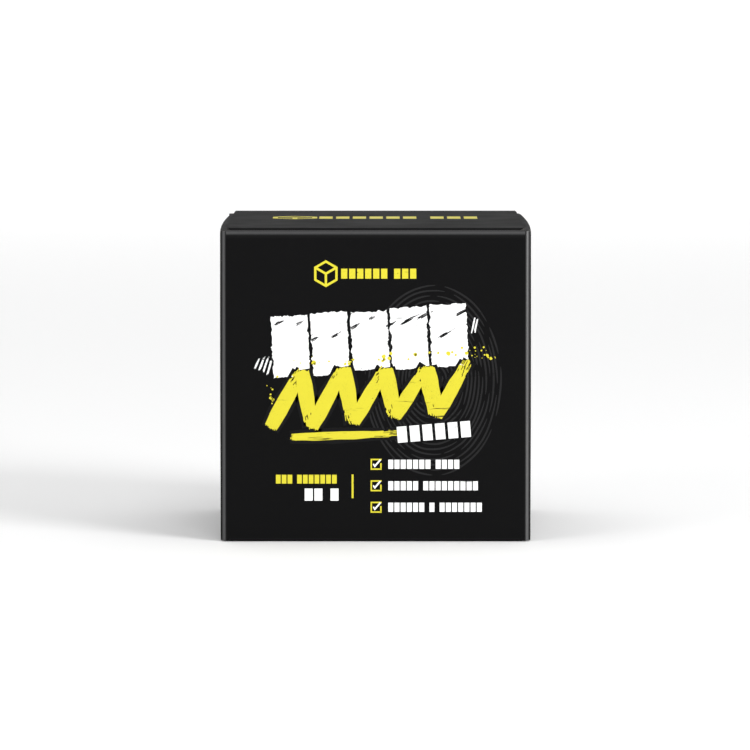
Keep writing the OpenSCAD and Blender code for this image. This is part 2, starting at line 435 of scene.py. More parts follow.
def use_group(nodes, tree, *values):
    node = nodes.add("ShaderNodeGroup", node_tree=tree)
    for socket, value in zip(node.inputs, values):
        nodes.join(socket, value)
    return node.outputs


def board_coordinates(nodes):
    return nodes.add("ShaderNodeUVMap", uv_map="board").outputs[0]


def fold_amount(nodes):
    return nodes.add("ShaderNodeAttribute", attribute_name="fold").outputs["Fac"]


def outside_material():
    material, nodes, shader = new_material("Coated board outside")
    if nodes:
        tint = (*bpy.context.scene.chalk_carton.outside, 1)
        worn = (0.09, 0.088, 0.085, 1)
        fleck = (0.02, 0.02, 0.021, 1)
        painted_highlight = (0.07, 0.07, 0.072, 1)
        fold = fold_amount(nodes)
        made = use_group(nodes, board_effects(), board_coordinates(nodes), fold)
        # Painted highlight: a pale grey mixed into the base colour along the fold mask, on the
        # upright corners and the front wall's curled lip, where those edges catch the light
        painted_highlight_amount = nodes.math("MULTIPLY", fold, 0.6)
        base = nodes.mix(painted_highlight_amount, nodes.mix(made["Flecks"], tint, fleck), painted_highlight)
        nodes.join(shader.inputs["Base Color"], nodes.mix(made["Wear"], base, worn))
        nodes.join(shader.inputs["Roughness"], nodes.range(made["Smudge"], 0, 1, 0.62, 0.7))
        nodes.join(shader.inputs["Normal"], nodes.bump(made["Peel"], 0.25, 0.02 * MM))
        nodes.join(shader.inputs["Coat Weight"], nodes.math("MULTIPLY", fold, 0.9))
        shader.inputs["Coat Roughness"].default_value = 0.32
        shader.inputs["Specular IOR Level"].default_value = 0.034
    return material


def inside_material():
    material, nodes, shader = new_material("Bare board inside")
    if nodes:
        tint = Vector(bpy.context.scene.chalk_carton.inside)
        made = use_group(nodes, fibre_effects(), board_coordinates(nodes))
        light = (*tint, 1)
        base = nodes.mix(nodes.range(made["Fibres"], 0.3, 0.7), (*(tint * 0.78), 1), light)
        nodes.join(shader.inputs["Base Color"], nodes.mix(made["Specks"], base, (*(tint * 0.5), 1)))
        nodes.join(shader.inputs["Roughness"], nodes.range(made["Fibres"], 0.3, 0.7, 0.95, 0.8))
        nodes.join(shader.inputs["Normal"], nodes.bump(made["Fibres"], 0.5, 0.04 * MM))
        shader.inputs["Specular IOR Level"].default_value = 0.25
    return material


def cut_material():
    material, nodes, shader = new_material("Cut board edge")
    if nodes:
        tint = Vector(bpy.context.scene.chalk_carton.inside)
        made = use_group(nodes, fibre_effects(), board_coordinates(nodes))
        base = nodes.mix(made["Fibres"], (*(tint * 0.08), 1), (*(tint * 0.2), 1))
        nodes.join(shader.inputs["Base Color"], base)
        nodes.join(shader.inputs["Normal"], nodes.bump(made["Fibres"], 0.8, 0.05 * MM))
        shader.inputs["Roughness"].default_value = 0.95
    return material


def board_materials():
    return [outside_material(), inside_material(), cut_material()]


def ink_material(name, colour):
    """Ink on the coated board; where it is dry the board shows through."""
    material, nodes, shader = new_material(name)
    if nodes:
        at = nodes.add("ShaderNodeTexCoord").outputs["Object"]
        made = use_group(nodes, ink_effects(), at)
        board = (*bpy.context.scene.chalk_carton.outside, 1)
        shade = nodes.mix(made["Streaks"], (*(Vector(colour) * 0.93), 1), (*colour, 1))
        nodes.join(shader.inputs["Base Color"], nodes.mix(made["Cover"], board, shade))
        nodes.join(shader.inputs["Roughness"], nodes.range(made["Streaks"], 0.3, 0.7, 0.42, 0.52))
        nodes.join(shader.inputs["Normal"], nodes.bump(made["Streaks"], 0.1, 0.01 * MM))
        shader.inputs["Specular IOR Level"].default_value = 0.1
    return material


def chalk_material():
    material, nodes, shader = new_material("Pressed chalk")
    if nodes:
        tint = Vector(bpy.context.scene.chalk_block.colour)
        at = nodes.add("ShaderNodeTexCoord").outputs["Object"]
        made = use_group(nodes, chalk_effects(), at)
        base = nodes.mix(nodes.range(made["Clouds"], 0.3, 0.7), (*(tint * 0.93), 1), (*tint, 1))
        nodes.join(shader.inputs["Base Color"], nodes.mix(made["Pores"], base, (*(tint * 0.8), 1)))
        nodes.join(shader.inputs["Roughness"], nodes.range(made["Clouds"], 0.3, 0.7, 0.92, 1.0))
        nodes.join(shader.inputs["Normal"], nodes.bump(made["Height"], 0.6, 0.18 * MM))
        shader.inputs["Specular IOR Level"].default_value = 0.15
    return material


def glue_material():
    material, nodes, shader = new_material("Dried glue")
    if nodes:
        at = nodes.add("ShaderNodeTexCoord").outputs["Object"]
        ripple = nodes.noise(at, 500.0, 3.0)
        nodes.join(shader.inputs["Base Color"],
                   nodes.mix(ripple, (0.55, 0.5, 0.36, 1), (0.75, 0.7, 0.55, 1)))
        nodes.join(shader.inputs["Roughness"], nodes.range(ripple, 0.3, 0.7, 0.25, 0.45))
    return material


# ---------------------------------------------------------------- carton


def side_offset(y, z):
    """How far a side wall stands out from its corner line: a belly, less the pull-in."""
    carton = bpy.context.scene.chalk_carton
    depth = min(max((y + HALF_D) / (2 * HALF_D), 0.0), 1.0)
    height = min(max(z / HEIGHT, 0.0), 1.0)
    fuller = 0.85 + 0.3 * math.sin(math.pi * height)
    return carton.belly * fuller * math.sin(math.pi * depth) - carton.pull_in * depth**2


def tube_path(z):
    """The tube's outside at a height, from the glue flap's free edge round to the raw edge.

    Returns (x, y, segment) points, anticlockwise as seen from above. A foot is the short
    stretch of front wall beside each end of the base crease.
    """
    carton = bpy.context.scene.chalk_carton
    r = carton.corner_radius
    back, front = HALF_D - r, -HALF_D + r
    bow = 0.2 * MM * math.sin(math.pi * min(max(z / HEIGHT, 0), 1))
    path = []

    def arc(cx, cy, start, name):
        for k in steps(start, start + 90, 12):
            a = math.radians(k)
            path.append((cx + r * math.cos(a), cy + r * math.sin(a), name))

    for y in steps(GLUE_FLAP_FRONT, back, 10):
        path.append((GLUE_X + side_offset(y, z), y, "glue"))
    right = GLUE_X + side_offset(back, z) - r
    arc(right, back, 0, "corner")
    left = HALF_W + side_offset(back, z) - r
    for x in steps(right, -left, 28):
        path.append((x, HALF_D + bow * math.cos(math.pi * x / (2 * HALF_W)), "back"))
    arc(-left, back, 90, "corner")
    for y in steps(back, front, 28):
        path.append((-HALF_W - side_offset(y, z), y, "side"))
    arc(-HALF_W + r, front, 180, "corner")
    lip = carton.lip * max(z - HEIGHT + 1.25 * MM, 0) ** 2 / (1.1 * MM) ** 2
    flat = HALF_W - r
    hinged = min(LID_HALF - LID_TAPER - BASE_ROUND, flat)
    for name, xs in (("foot", (-flat, -hinged)), ("front", steps(-hinged, hinged, 40)),
                     ("foot", (hinged, flat))):
        for x in xs:
            fade = smooth((flat - abs(x)) / (1.2 * MM))
            path.append((x, -HALF_D + lip * fade, name))
    arc(HALF_W - r, front, 270, "corner")
    for y in steps(front, HALF_D - 0.1 * MM, 28):
        path.append((HALF_W + side_offset(y, z), y, "side"))
    return path


def tube_span(segment, y):
    """The lowest and highest z of the tube along a segment of its path."""
    carton = bpy.context.scene.chalk_carton
    if segment == "glue":
        slant = (HALF_D - carton.corner_radius - y) * math.tan(math.radians(15))
        end = HEIGHT - SIDE_TOP + BOARD + slant
        return end, HEIGHT - end
    if segment == "side":
        end = HEIGHT - SIDE_TOP + carton.dust_crease
        return end, HEIGHT - end
    if segment == "back":
        return CUT_DROP, HEIGHT - carton.lid_crease
    if segment == "front":
        return carton.base_crease, FRONT_TOP
    if segment == "foot":
        return FOOT, FRONT_TOP
    if y < 0:
        return FOOT, SIDE_TOP
    return HEIGHT - SIDE_TOP, SIDE_TOP


def inward(path, i):
    """Unit direction from the outside of the tube to its inside, at a point of its path."""
    before, after = path[max(i - 1, 0)], path[min(i + 1, len(path) - 1)]
    if math.dist(before[:2], path[i][:2]) < 1e-9:
        before = path[max(i - 2, 0)]
    if math.dist(after[:2], path[i][:2]) < 1e-9:
        after = path[min(i + 2, len(path) - 1)]
    way = Vector((after[0] - before[0], after[1] - before[1])).normalized()
    return Vector((-way.y, way.x))


def corner_fold(path, i):
    """Up to 1 a third of the way round an upright corner from the front or back wall: the
    painted highlight on the corner, strongest there.
    """
    if path[i][2] != "corner":
        return 0.0
    turn = abs(inward(path, i).x)
    return smooth(turn / 0.35) * (1 - smooth((turn - 0.5) / 0.4))


def lip_fold(below):
    """Up to 1 a little below the front wall's cut edge: the painted highlight on its curled lip."""
    return (0.4 + 0.6 * smooth(below / (0.35 * MM))) * (1 - smooth((below - 0.4 * MM) / (0.55 * MM)))


def build_tube():
    rows = 36
    shares = [smooth(smooth(k / rows)) for k in range(rows + 1)]
    middle = tube_path(HEIGHT / 2)
    outer, inner, folds = [], [], []
    for i, (_, y, segment) in enumerate(middle):
        low, high = tube_span(segment, y)
        column, under, fold = [], [], []
        for share in shares:
            z = lerp(low, high, share)
            path = tube_path(z)
            here = Vector(path[i][:2])
            inner_here = here + inward(path, i) * BOARD
            column.append(Vector((*here, z)))
            under.append(Vector((*inner_here, z)))
            lip = lip_fold(high - z) if segment in ("front", "foot") else 0.0
            fold.append(max(corner_fold(middle, i), lip))
        outer.append(column)
        inner.append(under)
        folds.append(fold)
    tube = board_piece("carton_tube", outer, inner, folds, board_materials())
    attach(tube, "carton")
    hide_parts("front_panel", "back_panel", "left_panel", "right_panel", "glue_flap")


def bend_path(start, way, up, radius, sweep, length, count=8, runs=24):
    """Outside of a sheet that bends by sweep and runs straight on, as (point, normal, fold).

    way is the direction of travel at the start and up the outward direction there.
    """
    centre = start - up * radius
    path = []
    for a in steps(0, sweep, count):
        normal = up * math.cos(a) + way * math.sin(a)
        path.append((centre + normal * radius, normal, CREASE_FOLD))
    end, normal, _ = path[-1]
    on = way * math.cos(sweep) - up * math.sin(sweep)
    for k in range(1, runs + 1):
        run = length * (k / runs) ** 1.5
        path.append((end + on * run, normal, CREASE_FOLD * max(0.0, 1 - run / (0.6 * MM))))
    return path


def sheet_grids(columns, path_of):
    """Outer, inner and fold grids from a bend path for each column."""
    outer, inner, folds = [], [], []
    for column in columns:
        path = path_of(column)
        outer.append([p for p, _, _ in path])
        inner.append([p - normal * BOARD for p, normal, _ in path])
        folds.append([fold for _, _, fold in path])
    return outer, inner, folds


def build_lid(end, flip):
    """A lid with its hinge crease; it stops where its tuck flap's crease begins."""
    carton = bpy.context.scene.chalk_carton
    r = carton.base_crease if flip else carton.lid_crease
    up, back = Vector((0, 0, 1)), Vector((0, 1, 0))
    length = HALF_D - r - (TUCK_Y + carton.tuck_crease)
    round_off = BASE_ROUND if flip else TOP_ROUND
    rounded_rows = 14

    def path_of(share):
        path = bend_path(Vector((0, HALF_D, HEIGHT - r)), up, back, r, math.pi / 2, length)
        made = []
        for k, (p, normal, fold) in enumerate(path):
            to_crease = 1 - min(k / rounded_rows, 1.0)
            taper = LID_TAPER * (p.y / HALF_D + 1) / 2
            half = LID_HALF - taper - round_off * to_crease ** 2
            made.append((Vector((share * half, p.y, p.z)), normal, fold))
        return made

    sheet = board_piece(f"{end}_lid_board", *sheet_grids(steps(-1, 1, 36), path_of),
                        board_materials(), flip)
    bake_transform(sheet)
    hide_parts(f"{end}_lid")


def build_tuck(end, flip):
    """A tuck flap with its crease, narrower towards its round-cornered free end."""
    r = bpy.context.scene.chalk_carton.tuck_crease
    lean = math.radians(7.5)
    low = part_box("top_tuck_flap")[0].z
    length = (HEIGHT - low) / math.cos(lean) - r
    corner = 5 * MM
    forward, up = Vector((0, -1, 0)), Vector((0, 0, 1))

    def path_of(share):
        x_end = share * TUCK_HALF
        over = max(abs(x_end) - (TUCK_HALF - corner), 0) / corner
        cut = corner * (1 - math.sqrt(max(1 - over**2, 0)))
        path = bend_path(Vector((0, TUCK_Y + r, HEIGHT)), forward, up, r, math.pi / 2 + lean,
                         max(length - cut, 1 * MM), runs=16)
        made = []
        for k, (p, normal, fold) in enumerate(path):
            widen = (LID_HALF - TUCK_HALF) * (1 - smooth(k / 10))
            made.append((Vector((share * (TUCK_HALF + widen), p.y, p.z)), normal, fold))
        return made

    shares = [math.sin(math.pi / 2 * s) for s in steps(-1, 1, 48)]
    sheet = board_piece(f"{end}_tuck_board", *sheet_grids(shares, path_of), board_materials(), flip)
    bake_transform(sheet)
    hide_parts(f"{end}_tuck_flap")


def dust_reach(y):
    """How far a dust flap reaches in from its crease, at a distance along the carton."""
    slope, back_width = 0.9, 0.3 * MM
    crease_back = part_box("top_dust_flap_left")[1].y
    front = -HALF_D + DUST_STEP
    if y < front:
        return DUST_SHOULDER
    reach = min(DUST_REACH, (crease_back - y) / slope + back_width)
    if y < front + DUST_CORNER:
        into = (front + DUST_CORNER - y) / DUST_CORNER
        reach = min(reach, DUST_REACH - DUST_CORNER * (1 - math.sqrt(max(1 - into**2, 0))))
    return reach


def build_dust(end, hand, flip):
    """A dust flap on the left or right, on a crease that follows the side wall's belly."""
    r = bpy.context.scene.chalk_carton.dust_crease
    side = -1 if hand == "left" else 1
    out, up = Vector((side, 0, 0)), Vector((0, 0, 1))
    low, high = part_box("top_dust_flap_left")
    front = -HALF_D + DUST_STEP
    droop = 0.35 * MM
    ys = (steps(low.y, front - 0.02 * MM, 4) + steps(front, front + DUST_CORNER, 8)
          + steps(front + DUST_CORNER + 1 * MM, high.y, 32))

    def path_of(y):
        # The bottom closure is turned over, so its walls' offset runs the other way.
        wall = HALF_W + side_offset(-y if flip else y, SIDE_TOP - r)
        start = Vector((side * wall, y, SIDE_TOP - r))
        length = dust_reach(y) + (wall - HALF_W) - r
        path = bend_path(start, up, out, r, math.pi / 2, max(length, 0.4 * MM), runs=14)
        return [(p - up * droop * (max(wall - abs(p.x), 0) / DUST_REACH) ** 2, normal, fold)
                for p, normal, fold in path]

    sheet = board_piece(f"{end}_dust_board_{hand}", *sheet_grids(ys, path_of), board_materials(),
                        flip)
    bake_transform(sheet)
    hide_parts(f"{end}_dust_flap_{hand}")


def build_glue():
    """Glue squeezed between the right wall and its flap, with a wavy edge."""
    low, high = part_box("glue_line")
    build = bmesh.new()
    rows = 40
    rings = []
    for k, z in enumerate(steps(low.z, high.z, rows)):
        wave = 0.6 * MM * noise.noise(Vector((0, 3.1, z / (4 * MM))))
        wave -= 1.5 * MM * (abs(2 * k / rows - 1) ** 8)
        ring = []
        for y in (low.y - wave, high.y + wave * 0.6):
            shift = side_offset(y, z)
            ring += [(low.x + shift, y, z), (high.x + shift, y, z)]
        a, b, c, d = ring
        rings.append([build.verts.new(p) for p in (a, b, d, c)])
    for here, there in zip(rings, rings[1:]):
        for k in range(4):
            n = (k + 1) % 4
            build.faces.new([here[k], here[n], there[n], there[k]])
    build.faces.new(rings[0])
    build.faces.new(rings[-1])
    bmesh.ops.recalc_face_normals(build, faces=build.faces)
    mesh = bpy.data.meshes.new("glue_bead")
    build.to_mesh(mesh)
    build.free()
    mesh.materials.append(glue_material())
    glue = add_object("glue_bead", mesh)
    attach(glue, "carton")
    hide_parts("glue_line")


# ---------------------------------------------------------------- chalk


def chalk_point(p, half, chip):
    """A point of the unit cube's surface as a point of the worn block."""
    edge = sorted((abs(p.x), abs(p.y), abs(p.z)))[1]
    near_edge = smooth((edge - 0.86) / 0.14)
    at = p * half
    rough = noise.noise(at * 260) * 0.5 + noise.noise(at * 900) * 0.25
    worn = 0.35 * MM + chip * max(noise.noise(at * 120 + Vector((7, 3, 1))) + 0.1, 0) ** 1.4 * 1.8
    worn += 0.35 * chip * max(noise.noise(at * 520), 0)
    corner = 2.2 * MM
    flat = 1 - corner / half
    core = Vector([min(max(c, -flat), flat) for c in p]) * half
    out = at - core
    if out.length > corner:
        out *= lerp(1, corner / out.length, 0.6)
    normal = out.normalized()
    dent = 0.12 * MM * (rough + 0.5) + near_edge * worn * 0.6
    return core + out - normal * dent


def build_chalk():
    chalk = bpy.context.scene.chalk_block
    low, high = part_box("chalk_block")
    middle, half = (low + high) / 2, (high.x - low.x) / 2
    count = 90
    build = bmesh.new()
    ticks = [math.sin(math.pi / 2 * s) for s in steps(-1, 1, count)]
    for axis in range(3):
        for sign in (-1, 1):
            grid = []
            for a in ticks:
                column = []
                for b in ticks:
                    p = [0.0, 0.0, 0.0]
                    p[axis], p[(axis + 1) % 3], p[(axis + 2) % 3] = sign, a, b
                    at = middle + chalk_point(Vector(p), half, chalk.chip)
                    column.append(build.verts.new(at))
                grid.append(column)
            for i in range(count):
                for j in range(count):
                    ring = [grid[i][j], grid[i + 1][j], grid[i + 1][j + 1], grid[i][j + 1]]
                    build.faces.new(ring if sign > 0 else ring[::-1]).smooth = True
    bmesh.ops.remove_doubles(build, verts=build.verts, dist=0.002 * MM)
    mesh = bpy.data.meshes.new("pressed_chalk")
    build.to_mesh(mesh)
    build.free()
    mesh.materials.append(chalk_material())
    block = add_object("pressed_chalk", mesh)
    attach(block, "chalk_block")
    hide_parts("chalk_block")


def build_crumbs():
    """Loose crumbs on top of the block, thicker along its edges."""
    chalk = bpy.context.scene.chalk_block
    low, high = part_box("chalk_block")
    rng = random.Random(11)
    smallest, largest = 0.12, 0.55
    nearest, farthest = 1.5, 10
    build = bmesh.new()
    for _ in range(chalk.crumbs):
        size = lerp(smallest, largest, rng.random() ** 3) * MM
        inset = lerp(nearest, farthest, rng.random() ** 2) * MM
        along = rng.uniform(low.x + 2 * MM, high.x - 2 * MM)
        x, y = (along, low.y + inset) if rng.random() < 0.7 else (along, high.y - inset)
        if rng.random() < 0.4:
            x, y = y, x
        made = bmesh.ops.create_icosphere(build, subdivisions=2, radius=size)
        shift = Vector((x, y, high.z - 0.1 * MM + size * 0.5))
        for v in made["verts"]:
            v.co *= 1 + 0.45 * noise.noise(v.co * 2600 + shift * 500)
            v.co.z *= 0.75
            v.co += shift
    mesh = bpy.data.meshes.new("chalk_crumbs")
    build.to_mesh(mesh)
    build.free()
    mesh.materials.append(chalk_material())
    crumbs = add_object("chalk_crumbs", mesh)
    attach(crumbs, "chalk_block")


# ---------------------------------------------------------------- print

# Places on the front wall are millimetres from its centre line and from its base.

# Heights of the layers of ink above the board, and the least step between two that overlap
RING_LAYER, PRINT_LAYER, SHADOW_LAYER = 0.01, 0.02, 0.03
STROKE_LAYER, DROP_LAYER, TOP_LAYER = 0.034, 0.036, 0.045
HAIR = 0.001
# The ticked lines of copy: blocks in each word, height of the first line, and their pitch
COPY_LINES = ((7, 4), (5, 9), (6, 1, 7))
COPY_TOP, COPY_PITCH = 14.0, 3.9


def copy_z(row):
    return COPY_TOP - COPY_PITCH * row


def turned(points, angle, centre=(0, 0)):
    c, s = math.cos(angle), math.sin(angle)
    return [(centre[0] + x * c - z * s, centre[1] + x * s + z * c) for x, z in points]


def block(x, z, w, h, angle=0.0):
    """Corners of a w by h block centred on x, z."""
    corners = [(-w / 2, -h / 2), (w / 2, -h / 2), (w / 2, h / 2), (-w / 2, h / 2)]
    return turned(corners, angle, (x, z))


def ragged(points, amount, pitch=0.25, seed=0.0):
    """An outline with its sides cut into short steps and shaken."""
    made = []
    for (ax, az), (bx, bz) in zip(points, points[1:] + points[:1]):
        length = math.dist((ax, az), (bx, bz))
        nx, nz = (bz - az) / length, (ax - bx) / length
        count = max(int(length / pitch), 1)
        for k in range(count):
            x, z = lerp(ax, bx, k / count), lerp(az, bz, k / count)
            shake = amount * (noise.noise(Vector((x * 0.9, z * 0.9, seed)))
                              + 0.8 * noise.noise(Vector((x * 4, z * 4, seed + 5))))
            made.append((x + nx * shake, z + nz * shake))
    return made


def brush_stroke(a, b, width, seed, fray=(0.05, 0.18), bristles=14, sag=0.0):
    """Outlines of the bristle marks that make one stroke from a to b."""
    rng = random.Random(seed)
    gap_chance, step = 0.35, 0.8
    ax, az = a
    dx, dz = b[0] - ax, b[1] - az
    length = math.hypot(dx, dz)
    nx, nz = -dz / length, dx / length

    def at(t, across):
        swell = width * (0.82 + 0.18 * math.sin(math.pi * min(t * 1.3, 1)))
        off = across * swell + sag * math.sin(math.pi * t)
        off += 0.12 * noise.noise(Vector((t * 6, across * 2, seed)))
        return ax + dx * t + nx * off, az + dz * t + nz * off

    made = []
    for k in range(bristles):
        low, high = k / bristles - 0.5, (k + 1) / bristles - 0.5
        outer_ones = abs(2 * (k + 0.5) / bristles - 1) ** 2
        start = fray[0] * (rng.random() * 0.7 + 0.5 * outer_ones)
        stop = 1 - fray[1] * (rng.random() * 0.8 + 0.5 * outer_ones)
        runs = [(start, stop)]
        if rng.random() < gap_chance:
            gap = rng.uniform(0.72, 0.86)
            runs = [(start, min(gap, stop)), (gap + rng.uniform(0.03, 0.09), min(stop + 0.06, 1.0))]
        for t0, t1 in runs:
            if t1 - t0 < 0.01:
                continue
            count = max(int((t1 - t0) * length / step), 2)
            ts = steps(t0, t1, count)
            made.append([at(t, low) for t in ts] + [at(t, high) for t in reversed(ts)])
    return made


def disc(x, z, radius, seed, count=14):
    """A drop with an uneven outline."""
    made = []
    for k in range(count):
        a = 2 * math.pi * k / count
        r = radius * (1 + 0.35 * noise.noise(Vector((math.cos(a), math.sin(a), seed))))
        made.append((x + r * math.cos(a), z + r * math.sin(a)))
    return made


def splatter(centre, spread, count, seed, largest=0.3):
    rng = random.Random(seed)
    return [disc(centre[0] + rng.gauss(0, spread[0]), centre[1] + rng.gauss(0, spread[1]),
                 lerp(0.06, largest, rng.random() ** 2), seed + k) for k in range(count)]


def arc_band(centre, rx, rz, start, stop, width, seed):
    """A thin band along part of an ellipse, wavering and thinner at its ends."""
    count = max(int(math.radians(stop - start) * max(rx, rz) / 0.5), 3)
    inner, outer = [], []
    for k, a in enumerate(steps(math.radians(start), math.radians(stop), count)):
        waver = 0.25 * noise.noise(Vector((math.cos(a) * 2, math.sin(a) * 2, seed)))
        taper = math.sqrt(max(math.sin(math.pi * k / count), 0))
        half = width / 2 * (0.25 + 0.75 * taper)
        for side, points in ((-half, inner), (half, outer)):
            points.append((centre[0] + (rx + waver + side) * math.cos(a),
                           centre[1] + (rz + waver + side) * math.sin(a)))
    return outer + inner[::-1]


def letter_blocks(x, z, words, w, h, gap):
    """A line of plain blocks in place of copy. words holds how many blocks stand together."""
    made, space = [], 0.8
    for word in words:
        for _ in range(word):
            made.append(block(x + w / 2, z, w, h))
            x += w + gap
        x += w * space
    return made


def ink_piece(name, body, material, layers, place):
    """One piece of thin closed patches. layers holds (height in mm, outlines) pairs.

    place takes (x, z, height) in millimetres to the frame.
    """
    build = bmesh.new()
    base = 0.004
    for height, outlines in layers:
        for outline in outlines:
            top = [build.verts.new(place(x, z, height)) for x, z in outline]
            foot = [build.verts.new(place(x, z, base)) for x, z in outline]
            build.faces.new(top)
            build.faces.new(foot[::-1])
            for k in range(len(top)):
                n = (k + 1) % len(top)
                build.faces.new([top[n], top[k], foot[k], foot[n]])
    bmesh.ops.recalc_face_normals(build, faces=build.faces)
    bmesh.ops.triangulate(build, faces=[f for f in build.faces if len(f.verts) > 4])
    mesh = bpy.data.meshes.new(name)
    build.to_mesh(mesh)
    build.free()
    mesh.materials.append(material)
    piece = add_object(name, mesh)
    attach(piece, body)
    return piece


def stacked(outlines, height):
    """A layer for each outline, each a hair above the last, for outlines that overlap."""
    return [(height + HAIR * k, [outline]) for k, outline in enumerate(outlines)]


def on_front(x, z, height):
    return Vector((x * MM, -HALF_D - height * MM, z * MM))


def on_lid(x, z, height):
    return Vector((x * MM, z * MM, HEIGHT + height * MM))


SCRIBBLE_TURNS = 9
UNDERLINE = ((-15.5, 18.9), (4.6, 19.6), 1.5)
SLAB_COUNT = 5


def slabs(slope):
    """Heavy upright blocks with torn tops and feet, and a scuff at each end."""
    left, right, base, top = -18.9, 16.8, 29.6, 40.6
    pitch = (right - left) / SLAB_COUNT
    made = []
    for k in range(SLAB_COUNT):
        x = left + pitch * (k + 0.5)
        rise = (x - left) * math.tan(slope)
        tall = top - base + 0.4 * math.sin(k * 2.2)
        outline = block(x, (top + base) / 2 + rise * 0.85, pitch - 0.55, tall, slope * 0.6)
        made.append(ragged(outline, 0.28, seed=k * 3.7))
    # Four scuffs at the left end and two at the right
    for k in range(4):
        foot = (-19.6 - 0.75 * k, 30.0 + 0.4 * k)
        made += brush_stroke(foot, (foot[0] + 1.1, foot[1] + 3.8 - 0.5 * k), 0.34, 40 + k,
                             (0.2, 0.3), 3)
    for k in range(2):
        foot = (17.3 + 0.5 * k, 37.6)
        made += brush_stroke(foot, (foot[0] + 0.7, foot[1] + 3.4), 0.3, 50 + k, (0.2, 0.3), 3)
    return made


def scratches():
    """Dry, dark scratches across the slabs, all leaning one way."""
    rng = random.Random(31)
    made = []
    for k in range(11):
        x, z = -18 + 3.2 * k + rng.uniform(-0.6, 0.6), 39.6 + 0.2 * k - rng.uniform(0, 5)
        reach = rng.uniform(1.6, 4.2)
        made += brush_stroke((x, z), (x + reach, z + reach * 0.55), 0.5, 120 + k, (0.3, 0.5), 4)
    return made


def build_front_white():
    inks = bpy.context.scene.chalk_print
    material = ink_material("White ink", inks.white)
    slab_layer = (PRINT_LAYER, slabs(inks.slope))
    pivot_x, pivot_z = 10.7, 19.9
    tag = [turned([(x - pivot_x, z - pivot_z) for x, z in piece], inks.slope, (pivot_x, pivot_z))
           for piece in letter_blocks(3.9, pivot_z, (6,), 1.75, 2.9, 0.55)]
    net = letter_blocks(-12.8, 8.5, (2, 1), 1.45, 2.2, 0.3)
    copy, ticks = [], []
    for row, words in enumerate(COPY_LINES):
        z = copy_z(row)
        copy += letter_blocks(2.3, z, words, 0.9, 1.65, 0.22)
        ticks.append([(-0.5, z), (-0.15, z - 0.6), (1.0, z + 0.75), (0.75, z + 0.9),
                      (-0.15, z - 0.15), (-0.3, z + 0.15)])
    made = ink_piece("print_white", "carton", material,
                     [slab_layer, (PRINT_LAYER, net + copy), (TOP_LAYER, tag + ticks)], on_front)
    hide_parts("front_print_white")


def thick_line(a, b, width):
    """Corners of a straight line from a to b."""
    length = math.dist(a, b)
    middle = ((a[0] + b[0]) / 2, (a[1] + b[1]) / 2)
    return block(*middle, length + width / 2, width, math.atan2(b[1] - a[1], b[0] - a[0]))


def cube_mark(x, z, radius, line):
    """A plain cube seen from a corner: six sides and three inner edges."""
    rim = [(x + radius * math.sin(math.radians(60 * k)), z + radius * math.cos(math.radians(60 * k)))
           for k in range(6)]
    sides = [thick_line(a, b, line) for a, b in zip(rim, rim[1:] + rim[:1])]
    return sides + [thick_line((x, z), rim[k], line) for k in (1, 3, 5)]


def box_outline(x, z, size, line):
    """Four bars of an open square."""
    half = size / 2
    return [block(x, z + half - line / 2, size, line), block(x, z - half + line / 2, size, line),
            block(x - half + line / 2, z, line, size - 2 * line),
            block(x + half - line / 2, z - size * 0.15, line, size * 0.5)]


def scribble(slope):
    """Ends of the strokes of one zigzag scribble that rises to the right."""
    left, pitch, low, high, lean = -18.6, 3.75, 20.4, 30.6, 1.6
    ends = []
    for k in range(SCRIBBLE_TURNS + 1):
        x = left + pitch * k
        top = k % 2
        swing = 0.5 * math.sin(2.4 * k)
        z = (high if top else low) + (x - left) * math.tan(slope) * 0.75 + swing
        ends.append((x + (lean if top else -lean * 0.3), z))
    return list(zip(ends, ends[1:]))


def build_front_yellow():
    inks = bpy.context.scene.chalk_print
    material = ink_material("Yellow ink", inks.yellow)
    layers, halos, halo_width = [], [], 1.3
    strokes = [(a, b, 2.8 + 0.4 * math.sin(3 * k)) for k, (a, b) in enumerate(scribble(inks.slope))]
    for k, (a, b, width) in enumerate([UNDERLINE] + strokes):
        stroke = brush_stroke(a, b, width, 70 + k, (0.04, 0.16), 18)
        layers.append((STROKE_LAYER + HAIR * k, stroke))
        halos += brush_stroke(a, b, width + halo_width, 90 + k, (0.0, 0.04), 6)
    # Drops at the scribble's right end, at its left end and along its top
    drops = splatter((18.5, 33.6), (1.5, 0.7), 16, 5) + splatter((-18.6, 27.5), (0.6, 2.4), 12, 6)
    for k in range(5):
        drops += splatter((-12 + 7 * k, 32.2 + 0.5 * k), (1.5, 0.5), 9, 8 + k, 0.42)
    layers.append((DROP_LAYER, drops))
    mark = cube_mark(-8.95, 48.5, 2.2, 0.42)
    line = letter_blocks(-6.2, 48.5, (6, 3), 1.12, 1.8, 0.32)
    net = letter_blocks(-18.0, 11.3, (3, 7), 0.85, 1.6, 0.2)
    boxes = []
    for row in range(len(COPY_LINES)):
        boxes += box_outline(0.1, copy_z(row), 2.0, 0.26)
    rule = block(-4.15, 10.0, 0.35, 4.3)
    layers.append((PRINT_LAYER, line + net + boxes + [rule]))
    layers += stacked(mark, PRINT_LAYER)
    made = ink_piece("print_yellow", "carton", material, layers, on_front)
    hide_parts("front_print_yellow")
    halo = ink_material("Black ink", bpy.context.scene.chalk_carton.outside)
    ink_piece("print_stroke_shadow", "carton", halo,
              [(SHADOW_LAYER, halos + scratches())], on_front)


